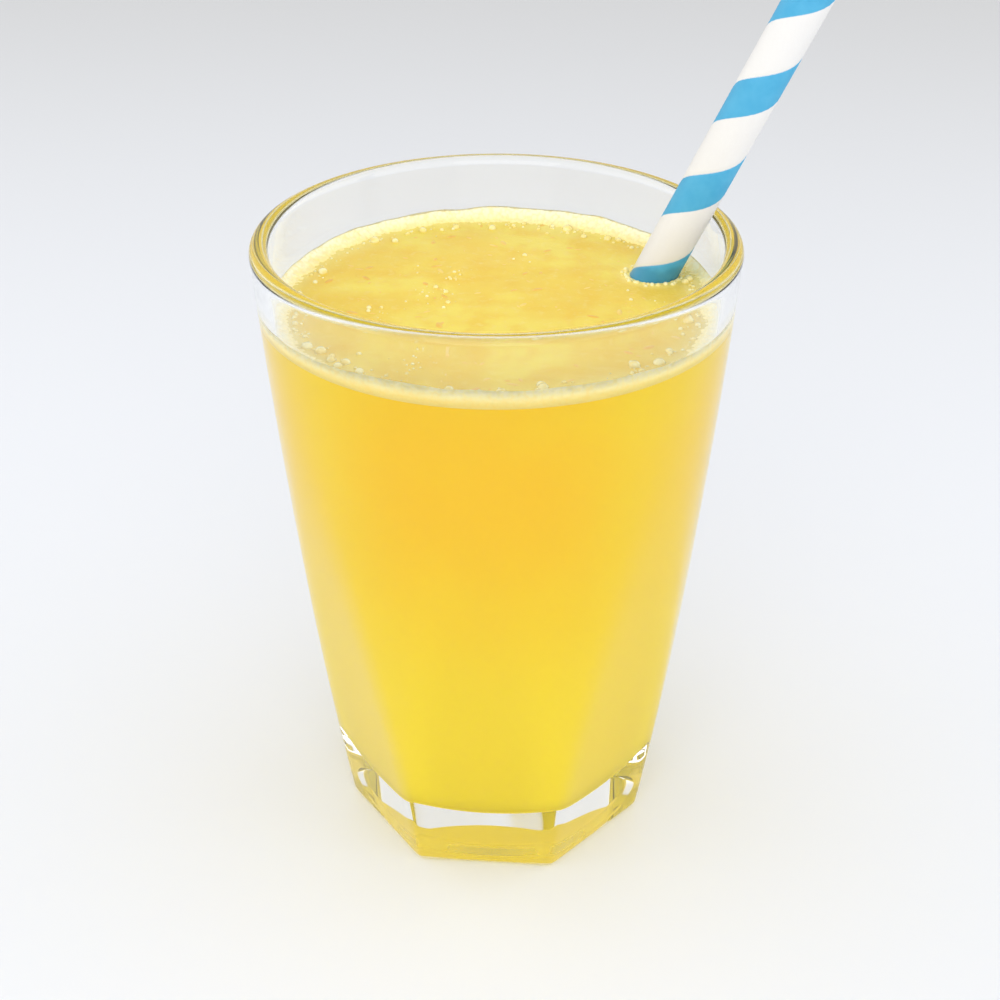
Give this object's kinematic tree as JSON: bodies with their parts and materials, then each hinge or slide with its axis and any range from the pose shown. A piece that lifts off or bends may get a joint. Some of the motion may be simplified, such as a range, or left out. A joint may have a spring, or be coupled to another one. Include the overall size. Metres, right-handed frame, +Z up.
{
  "type": "glass of orange juice",
  "caption": "Faceted tumbler filled with orange juice almost to the brim, with a striped paper straw leaning on its rim.",
  "frame": {"origin": "centre of the glass's underside, on the plane that it stands on", "axes": "+Z up along the glass's axis; one flat of the glass faces -Y; the straw leans towards +X"},
  "size_m": [0.1134, 0.0858, 0.194],
  "materials": {
    "glass": "clear pressed glass, polished",
    "juice": "cloudy yellow orange juice with a wet surface",
    "straw_paper": "white paper with a light blue spiral stripe"
  },
  "bodies": {
    "root": {"glass": "glass", "juice": "juice", "straw": "straw_paper"}
  },
  "joints": []
}
